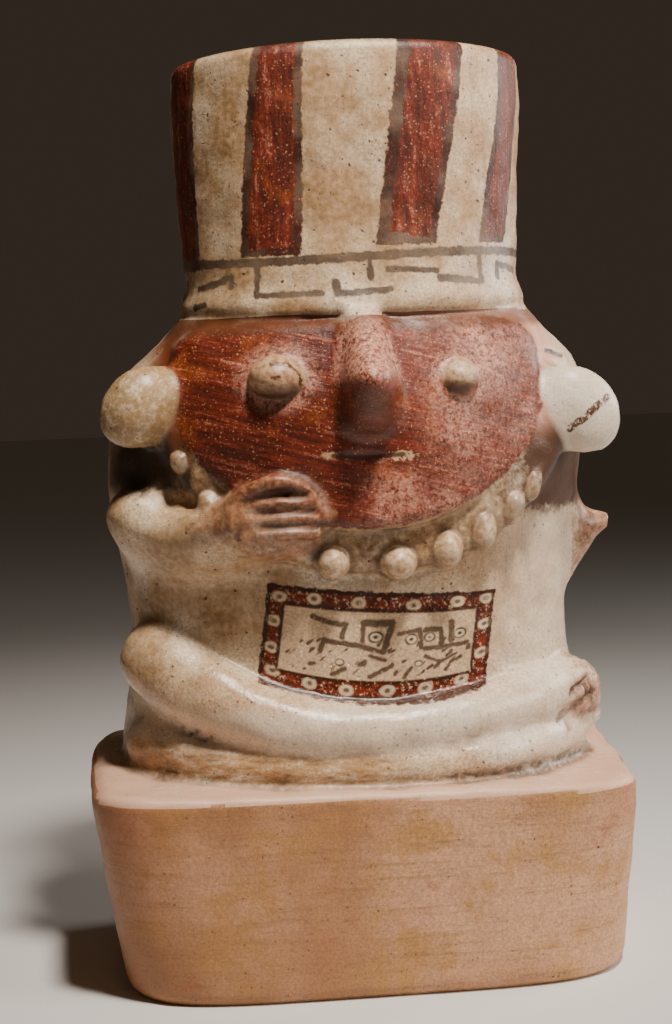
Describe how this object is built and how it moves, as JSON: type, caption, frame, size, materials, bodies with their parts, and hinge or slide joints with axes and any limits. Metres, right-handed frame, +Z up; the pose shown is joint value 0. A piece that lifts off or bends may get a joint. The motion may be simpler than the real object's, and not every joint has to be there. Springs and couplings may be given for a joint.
{
  "type": "ceramic effigy vessel",
  "caption": "Hollow fired-clay vessel shaped as a cross-legged figure on a block seat, open at the top of its tall headdress.",
  "frame": {"origin": "middle of the block seat's underside, on the surface that it stands on", "axes": "+Z up to the headdress's lip, -Y the way the figure faces, +X to the viewer's right"},
  "size_m": [0.1605, 0.1125, 0.2642],
  "materials": {
    "slip_painted_clay": "fired clay, low burnish, cream and iron-red slip with dark brown lines, worn"
  },
  "bodies": {
    "root": {"effigy_vessel": "slip_painted_clay"}
  },
  "joints": []
}
